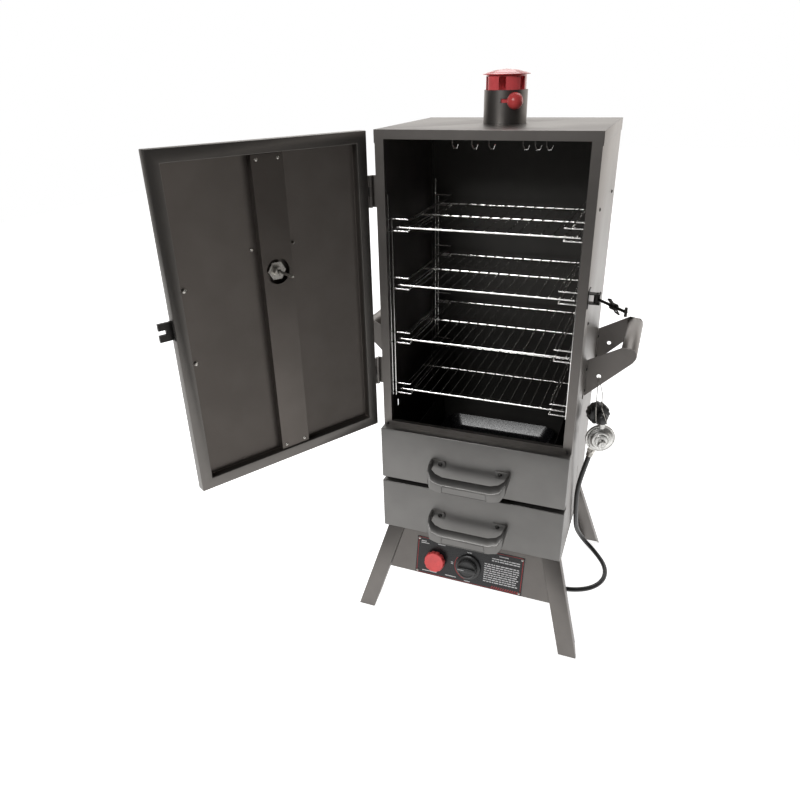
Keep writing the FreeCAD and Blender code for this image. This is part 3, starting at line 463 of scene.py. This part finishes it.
def add_door_shell():
    """Folded pan with a hemmed rim round the recess."""
    bm = bmesh.new()
    block(bm, DOOR_LOW, DOOR_HIGH)
    back = faces_towards(bm, (0, 1, 0))
    bmesh.ops.inset_region(bm, faces=back, thickness=DOOR_RIM, use_even_offset=True)
    grown = bmesh.ops.extrude_face_region(bm, geom=back)["geom"]
    bmesh.ops.translate(bm, vec=(0, -5, 0), verts=[i for i in grown if isinstance(i, bmesh.types.BMVert)])
    mouth = back + [i for i in grown if isinstance(i, bmesh.types.BMFace)]
    bmesh.ops.delete(bm, geom=mouth, context="FACES_ONLY")
    ease(bm, 1.2, 2)
    bmesh.ops.recalc_face_normals(bm, faces=bm.faces)
    bmesh.ops.solidify(bm, geom=bm.faces[:], thickness=1.4)
    piece(bm, "door_folded_shell", "door", DOOR_OUT, OPENED, ["door_shell"])


def add_door_liner():
    """Tray that floors the recess, with a soft fold round it."""
    reach = DOOR_RIM - 0.2
    bm = bmesh.new()
    block(bm, (DOOR_LOW[0] + reach, DOOR_HIGH[1] - DOOR_RECESS, DOOR_LOW[2] + reach),
          (DOOR_HIGH[0] - reach, DOOR_HIGH[1] - 1.8, DOOR_HIGH[2] - reach))
    bmesh.ops.delete(bm, geom=faces_towards(bm, (0, 1, 0)), context="FACES")
    ease(bm, 1.6, 3)
    bmesh.ops.recalc_face_normals(bm, faces=bm.faces)
    bmesh.ops.solidify(bm, geom=bm.faces[:], thickness=-1.2)
    # The liner takes the darker inner coat, painted shade.
    piece(bm, "door_recess_liner", "door", DOOR_SHADED_INNER, OPENED, ["door_liner"])


def add_thermometer():
    """Dial on the outer face: bezel, face, graduations, hand, lens and the stem into the chamber."""
    place, out = (DIAL_X, DOOR_LOW[1], DIAL_Z), (0, -1, 0)
    bm = bmesh.new()
    turn_profile(bm, [(0, 0.2), (35, 0.2), (37, 1.5), (37.9, 4), (37.9, 9), (36.8, 10.8), (35, 11), (34, 9.6),
                      (33.6, 7), (0, 7)], place, out, 64)
    turn_profile(bm, [(0, -22), (9, -22), (9, 0.2), (0, 0.2)], place, out, 24)
    turn_profile(bm, [(0, -75), (2, -75), (3, -72), (3, -22), (0, -22)], place, out, 16)
    piece(bm, "thermometer_bezel", "door", BOLT_STEEL, OPENED, ["thermometer_case"])
    bm = bmesh.new()
    turn_profile(bm, [(0, 7.1), (33, 7.1), (33, 7.5), (0, 7.5)], place, out, 64)
    piece(bm, "thermometer_dial", "door", DIAL_WHITE, OPENED)
    bm = bmesh.new()
    for step in range(31):
        turn = Matrix.Rotation(math.radians(-135 + 9 * step), 4, "Y")
        inner = 24.5 if step % 5 == 0 else 27.5
        tick = block(bm, (-0.45, -7.8, inner), (0.45, -7.45, 31))
        bmesh.ops.transform(bm, matrix=Matrix.Translation(place) @ turn, verts=tick)
    hand = block(bm, (-0.9, -8.3, -7), (0.9, -7.9, 24))
    turn = Matrix.Rotation(math.radians(-135), 4, "Y")
    bmesh.ops.transform(bm, matrix=Matrix.Translation(place) @ turn, verts=hand)
    turn_profile(bm, [(0, 7.4), (3, 7.4), (3, 8.6), (0, 8.9)], place, out, 20)
    piece(bm, "thermometer_scale", "door", BLACK_PLASTIC, OPENED)
    bm = bmesh.new()
    turn_profile(bm, [(0, 9.7), (33.8, 9.2), (33.8, 9.8), (0, 10.5)], place, out, 64)
    piece(bm, "thermometer_lens", "door", LENS_GLASS, OPENED)


# ---------------------------------------------------------------- chimney
CHIMNEY_Y = 184.0
DAMPER_Z = 1273.0
DAMPER_TURN = math.radians(30)


RACK_WIRES = 17


def add_wire_ends():
    """Rounded ends of the rack wires, standing over the front rail."""
    for number, body in enumerate(("rack_a", "rack_b", "rack_c", "rack_d"), 1):
        low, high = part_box(f"rack_{number}")
        low, high = about(low), about(high)
        bm = bmesh.new()
        step = (high.x - low.x - 14) / (RACK_WIRES - 1)
        for index in range(RACK_WIRES):
            place = Matrix.Translation((low.x + 7 + index * step, low.y + 1.8, high.z - 1.5))
            bmesh.ops.create_icosphere(bm, subdivisions=2, radius=2.1, matrix=place)
        piece(bm, f"rack_{number}_wire_ends", body, CHROME)


def add_damper():
    """Ball knob with a collar on its stem."""
    out = Vector((math.sin(DAMPER_TURN), -math.cos(DAMPER_TURN), 0))
    base = Vector((0, CHIMNEY_Y, DAMPER_Z))
    bm = bmesh.new()
    turns = [math.radians(a) for a in range(30, 181, 10)]
    ball = [(16.4 * math.sin(a), 66 - 16.4 * math.cos(a)) for a in turns]
    ball[-1] = (0, ball[-1][1])
    profile = [(0, 42.6), (3, 42.6), (3, 47.2), (6.2, 47.4), (6.6, 49), (7.4, 51.6)] + ball
    turn_profile(bm, profile, base, out, 40)
    piece(bm, "damper_ball", "damper", RED_PLASTIC, stands_for=["damper_knob"], smooth=50)


# ---------------------------------------------------------------- control panel
PANEL_FOOT = spot(0, 5 - 0.25 * (252 - 170), 170)
LEAN = math.atan(0.25)
PANEL_TURN = Matrix.Rotation(math.radians(90) - LEAN, 4, "X")
ON_PANEL = Matrix.Translation(PANEL_FOOT) @ PANEL_TURN @ Matrix.Scale(MM, 4)
IGNITER_X = -88.0


def add_knob():
    """Burner knob: finger grip across a fluted body on a stepped skirt."""
    bm = bmesh.new()
    turn_profile(bm, [(0, 3), (32, 3), (33, 4), (32.4, 7), (30, 8.4), (27, 8.8), (26, 10), (24.6, 20), (23, 22),
                      (20, 22.4), (19, 20.6), (0, 20.6)], steps=64)
    for index in range(24):
        turn = Matrix.Rotation(math.tau * index / 24, 4, "Z")
        rib = block(bm, (24.2, -0.9, 10), (26.2, 0.9, 20))
        bmesh.ops.transform(bm, matrix=turn, verts=rib)
    grip = block(bm, (-23, -5.5, 18), (23, 5.5, 27.8))
    soften(bm, edges_between(bm, grip), 2.4, 3)
    turn_profile(bm, [(0, -17), (4.9, -17), (4.9, 3.5), (0, 3.5)], steps=20)
    piece(bm, "burner_knob_moulded", "burner_dial", BLACK_PLASTIC, ON_PANEL,
          ["burner_knob"], 30)
    bm = bmesh.new()
    block(bm, (-21.5, -0.7, 27.6), (-5, 0.7, 27.95))
    piece(bm, "burner_knob_pointer", "burner_dial", PRINT_GREY, ON_PANEL)


def add_igniter():
    """Push button with a dozen soft lobes and a broad flat face."""
    space = ON_PANEL @ Matrix.Translation((IGNITER_X, 0, 0))
    lobes = 12
    bm = bmesh.new()
    rim = bmesh.ops.create_circle(bm, cap_ends=True, segments=lobes * 8, radius=21.5,
                                  matrix=Matrix.Translation((0, 0, 23.4)))["verts"]
    face = rim[0].link_faces[0]
    bmesh.ops.inset_region(bm, faces=[face], thickness=2.5, depth=-1.0)
    edge = [e for e in bm.edges if e.is_boundary]
    rings = ((24.6, 22.6, 0.5), (26.6, 20.4, 1.0), (27.2, 16, 1.4), (27.2, 9, 1.4), (26, 8.2, 0.6))
    for radius, height, depth in rings:
        grown = bmesh.ops.extrude_edge_only(bm, edges=edge)["geom"]
        edge = [item for item in grown if isinstance(item, bmesh.types.BMEdge)]
        for vert in (item for item in grown if isinstance(item, bmesh.types.BMVert)):
            lobe = abs(math.sin(lobes / 2 * math.atan2(vert.co.y, vert.co.x)))
            away = Vector((vert.co.x, vert.co.y, 0)).normalized()
            vert.co = away * (radius - 1.8 * depth * (1 - lobe) ** 2) + Vector((0, 0, height))
    bmesh.ops.holes_fill(bm, edges=edge)
    turn_profile(bm, [(0, -20), (8, -20), (8, 8.4), (0, 8.4)], steps=32)
    piece(bm, "igniter_cap", "igniter", RED_PLASTIC, space, ["igniter_button"], 40)


def add_label_print():
    """Plain marks that stand for the plate's print: a border, an arc, corner stripes and unreadable lines."""
    left, right, low, high = -140, 140, -45, 55
    top = 1.12
    bm = bmesh.new()
    for a, b in (((left, low), (right, low + 1)), ((left, high - 1), (right, high)),
                 ((left, low), (left + 1.4, high)), ((right - 1.4, low), (right, high))):
        block(bm, (*a, 1.0), (*b, top))
    for step in range(14):
        turn = Matrix.Rotation(math.radians(150 + 8 * step), 4, "Z")
        mark = block(bm, (35.5, -2.6, 1.0), (37.2, 2.6, top))
        bmesh.ops.transform(bm, matrix=turn, verts=mark)
    for step in range(12):
        turn = Matrix.Translation((66 + step * 6, low + 4.5, 0)) @ Matrix.Rotation(math.radians(-35), 4, "Z")
        stripe = block(bm, (-1.1, -3.4, 1.0), (1.1, 3.4, top))
        bmesh.ops.transform(bm, matrix=turn, verts=stripe)
    piece(bm, "label_print_red", "cabinet", PRINT_RED, ON_PANEL)
    bm = bmesh.new()
    for start, first, rows in ((60, 37, 2), (42, 19, 9)):
        for row in range(rows):
            x, word = start, 0
            while x < 128:
                wide = 4 + (row * 5 + word * 7 + first) % 8
                block(bm, (x, first - row * 6, 1.0), (min(x + wide, 132), first - row * 6 + 2.6, top))
                x += wide + 1.8
                word += 1
    captions = ((78, 46, 24), (-132, 44, 14), (-132, 39, 22), (-86, 43, 20), (-6, 38, 12), (-124, -38, 40),
                (-60, -38, 30), (-8, -42, 16), (-47, 2, 6), (-47, -2, 6))
    for x, y, wide in captions:
        block(bm, (x, y, 1.0), (x + wide, y + 2.2, top))
    piece(bm, "label_print_grey", "cabinet", PRINT_GREY, ON_PANEL)


# ---------------------------------------------------------------- regulator
REG_TURN = math.radians(18)
REG_OUT = Vector((math.sin(REG_TURN), -math.cos(REG_TURN), 0))
REG_MIDDLE = Vector((280, 116, 534))
NECK = REG_MIDDLE - REG_OUT * 2
INLET_WAY = Vector((-0.45, 0.89, 0)).normalized()
INLET_START = NECK + Vector((0, 0, 52))


def add_regulator():
    """Die-cast disc with stepped rings, a vent boss, rim screws, the inlet neck and the hose's outlet."""
    bm = bmesh.new()
    profile = [(0, -12), (19, -12), (22, -11), (31, -8), (33, -6.4), (34.6, -4), (35, -2.6), (35, 1.4),
               (34.4, 2.4), (32.8, 2.8), (32.4, 1.6), (30.6, 1.6), (30, 4.6), (28.6, 5.8), (25, 6.4),
               (24, 7.4), (22.6, 10.6), (21.4, 11.6), (18, 12), (17.2, 10.4), (15.6, 10.4), (14.8, 12),
               (12.8, 13), (0, 13.4)]
    turn_profile(bm, profile, REG_MIDDLE, REG_OUT, 72)
    vent = REG_MIDDLE + REG_OUT * 12 + Vector((2, 0, -9))
    turn_profile(bm, [(0, 0), (10.4, 0), (10.4, 7), (9.2, 9), (6.2, 9.2), (5.4, 8.2), (3.4, 8.2), (2.6, 9.4),
                      (0, 9.6)], vent, REG_OUT, 40)
    turn_profile(bm, [(0, 28), (9, 28), (9, 40), (0, 40)], NECK, (0, 0, 1), 40)
    end = Vector(HOSE_ROUTE[-1])
    back = REG_MIDDLE + Vector((0, 4, 0))
    stub = end + (REG_MIDDLE - end) * 0.5
    way = back - stub
    turn_profile(bm, [(0, 0), (7, 0), (7, 12), (8.4, 14), (8.4, way.length), (0, way.length)], stub, way, 32)
    level = REG_OUT.cross(Vector((0, 0, 1)))
    for index in range(6):
        a = math.radians(60 * index + 15)
        screw = REG_MIDDLE + REG_OUT * 2.6 + level * 33 * math.cos(a) + Vector((0, 0, 33 * math.sin(a)))
        turn_profile(bm, [(0, 0), (1.7, 0), (1.7, 1.2), (1.1, 1.8), (0, 1.8)], screw, REG_OUT, 16)
    return piece(bm, "regulator_casting", "cabinet", CAST_ZINC, stands_for=["regulator"],
                 smooth=40)


def add_inlet():
    """Black elbow on the neck with the inlet shaft that the hand nut turns on."""
    bm = bmesh.new()
    turn_profile(bm, [(0, 40), (10.4, 40), (11.4, 42), (12, 50), (11.6, 56), (9.4, 61), (5, 63.6), (0, 64)],
                 NECK, (0, 0, 1), 40)
    turn_profile(bm, [(0, 0), (10, 0), (10, 13.6), (6, 14), (6, 49), (4.8, 51.8), (0, 51.8)], INLET_START,
                 INLET_WAY, 40)
    return piece(bm, "regulator_elbow", "cabinet", BLACK_PLASTIC, smooth=40)


def add_hand_nut():
    """Ribbed plastic hand nut with a chamfered mouth."""
    start = INLET_START + INLET_WAY * 15
    stand = Matrix.Translation(start) @ INLET_WAY.to_track_quat("Z", "Y").to_matrix().to_4x4()
    bm = bmesh.new()
    turn_profile(bm, [(6.1, 0), (20, 0), (23.2, 1.6), (24.2, 4), (24.2, 26), (23, 28.6), (20.4, 30), (17, 30),
                      (16.4, 24), (6.1, 24), (6.1, 0)], start, INLET_WAY, 64)
    for index in range(12):
        turn = stand @ Matrix.Rotation(math.tau * index / 12, 4, "Z")
        rib = block(bm, (22.4, -3.6, 3), (25.9, 3.6, 27))
        made = soften(bm, edges_between(bm, rib), 1.3, 2)
        verts = {v for face in made["faces"] for v in face.verts}
        bmesh.ops.transform(bm, matrix=turn, verts=list(verts))
    return piece(bm, "hand_nut_ribbed", "hand_nut", BLACK_PLASTIC, stands_for=["tank_nut"],
                 smooth=30)


# ---------------------------------------------------------------- side handles
def add_grips():
    """Rolled grips with closed, rounded ends."""
    low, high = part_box("side_handle_grips")
    low, high = about(low), about(high)
    radius = (high.z - low.z) / 2
    for name, x in (("right", high.x - radius), ("left", low.x + radius)):
        bm = bmesh.new()
        length = high.y - low.y
        turn_profile(bm, [(0, 1.5), (radius - 4, 1.5), (radius - 2.4, 0), (radius - 0.9, 0.5), (radius, 2.4),
                          (radius, length - 2.4), (radius - 0.9, length - 0.5), (radius - 2.4, length),
                          (radius - 4, length - 1.5), (0, length - 1.5)],
                     (x, low.y, (low.z + high.z) / 2), (0, 1, 0), 48)
        nodes_for = ["side_handle_grips"] if name == "right" else []
        piece(bm, f"side_grip_{name}", "cabinet", CASING, stands_for=nodes_for)


# ---------------------------------------------------------------- surroundings
FLOOR_LOW, FLOOR_HIGH = Vector((-6.0, -1.65)), Vector((2.1, 12.0))


def add_floor():
    """Pale glowing table top that the smoker stands on, with most of it behind."""
    bm = bmesh.new()
    middle, size = (FLOOR_LOW + FLOOR_HIGH) / 2, FLOOR_HIGH - FLOOR_LOW
    fit = Matrix.Translation((*middle, 0)) @ Matrix.Diagonal((*size, 1, 1))
    bmesh.ops.create_grid(bm, x_segments=1, y_segments=1, size=0.5, matrix=fit)
    mesh = bpy.data.meshes.new("studio_floor")
    bm.to_mesh(mesh)
    bm.free()
    pale, tree, shader = finish_base("pale_floor", (0.85, 0.85, 0.85), 0.9, Emission_Strength=0.92)
    shader.inputs["Emission Color"].default_value = (1, 1, 1, 1)
    tone = two_tone(tree, object_noise(tree, 1.5), (0.84, 0.84, 0.84), (0.86, 0.86, 0.86))
    tree.links.new(tone, shader.inputs["Base Color"])
    mesh.materials.append(pale)
    floor = bpy.data.objects.new("studio_floor", mesh)
    bpy.context.scene.collection.objects.link(floor)


def add_light(name, place, target, size, power):
    data = bpy.data.lights.new(name, "AREA")
    data.shape = "RECTANGLE"
    data.size, data.size_y = size
    data.energy = power
    lamp = bpy.data.objects.new(name, data)
    lamp.location = place
    lamp.rotation_euler = (Vector(target) - Vector(place)).to_track_quat("-Z", "Y").to_euler()
    bpy.context.scene.collection.objects.link(lamp)


def add_world():
    """White surroundings behind and dim ones in front and overhead, in front of a plain white backdrop."""
    world = bpy.data.worlds.new("studio")
    world.use_nodes = True
    tree = world.node_tree
    place = tree.nodes.new("ShaderNodeTexCoord")
    split = tree.nodes.new("ShaderNodeSeparateXYZ")
    tree.links.new(place.outputs["Generated"], split.inputs["Vector"])
    behind = spread(tree, split.outputs["Y"], 0.06, 1.5, (0.05, 0.6))
    low = spread(tree, split.outputs["Z"], 1.0, 0.25, (0.1, 0.45))
    glow = tree.nodes.new("ShaderNodeMath")
    glow.operation = "MULTIPLY"
    tree.links.new(behind, glow.inputs[0])
    tree.links.new(low, glow.inputs[1])
    room = tree.nodes["Background"]
    room.inputs["Color"].default_value = (1, 0.96, 0.92, 1)
    tree.links.new(glow.outputs["Value"], room.inputs["Strength"])
    backdrop = tree.nodes.new("ShaderNodeBackground")
    path = tree.nodes.new("ShaderNodeLightPath")
    choice = tree.nodes.new("ShaderNodeMixShader")
    tree.links.new(path.outputs["Is Camera Ray"], choice.inputs["Fac"])
    tree.links.new(room.outputs["Background"], choice.inputs[1])
    tree.links.new(backdrop.outputs["Background"], choice.inputs[2])
    backdrop.inputs["Color"].default_value = (1, 1, 1, 1)
    tree.links.new(choice.outputs["Shader"], tree.nodes["World Output"].inputs["Surface"])
    bpy.context.scene.world = world


def add_surroundings():
    add_floor()
    add_world()
    add_light("overhead_softbox", (-0.6, 3.4, 4.2), (-0.6, 2.6, 0), (5.0, 4.0), 130)
    add_light("front_softbox", (-0.7, -2.4, 2.4), (0, 0, 0.8), (1.0, 0.8), 42)
    bpy.context.scene.view_settings.view_transform = "Standard"


# ---------------------------------------------------------------- building it all
add_camera()
regulator = add_regulator()
inlet = add_inlet()
hand_nut = add_hand_nut()
ferrules = add_ferrules()
add_hose()
for drawer, low_z in DRAWERS:
    add_drawer_front(drawer, low_z)
    on_front = CABINET_SPACE @ Matrix.Translation((0, FRONT_FACE_Y, low_z + FRONT_H / 2 - 3))
    add_pull(f"{drawer}_bail", f"{drawer}_drawer", on_front, f"{drawer}_drawer_pull")
add_pan()
add_door_shell()
add_door_liner()
add_thermometer()
on_door = (OPENED @ Matrix.Translation((DOOR_HIGH[0] - 36, DOOR_LOW[1], 900))
           @ Matrix.Rotation(math.radians(90), 4, "Y"))
add_pull("door_bail", "door", on_door, "door_handle")
add_wire_ends()
add_damper()
add_knob()
add_igniter()
add_label_print()
add_grips()
for node in ("side_panel_left", "side_panel_right", "front_frame"):
    eased_node(node, "cabinet", CASING)
eased_node("top_panel", "cabinet", CASING, 0.3)
for side in ("front_left", "front_right", "rear_left", "rear_right"):
    eased_node(f"leg_{side}", "cabinet", CASING)
for material, names in NODE_FINISH.items():
    for node in names:
        nodes[node].data.materials.clear()
        nodes[node].data.materials.append(material)
add_surroundings()
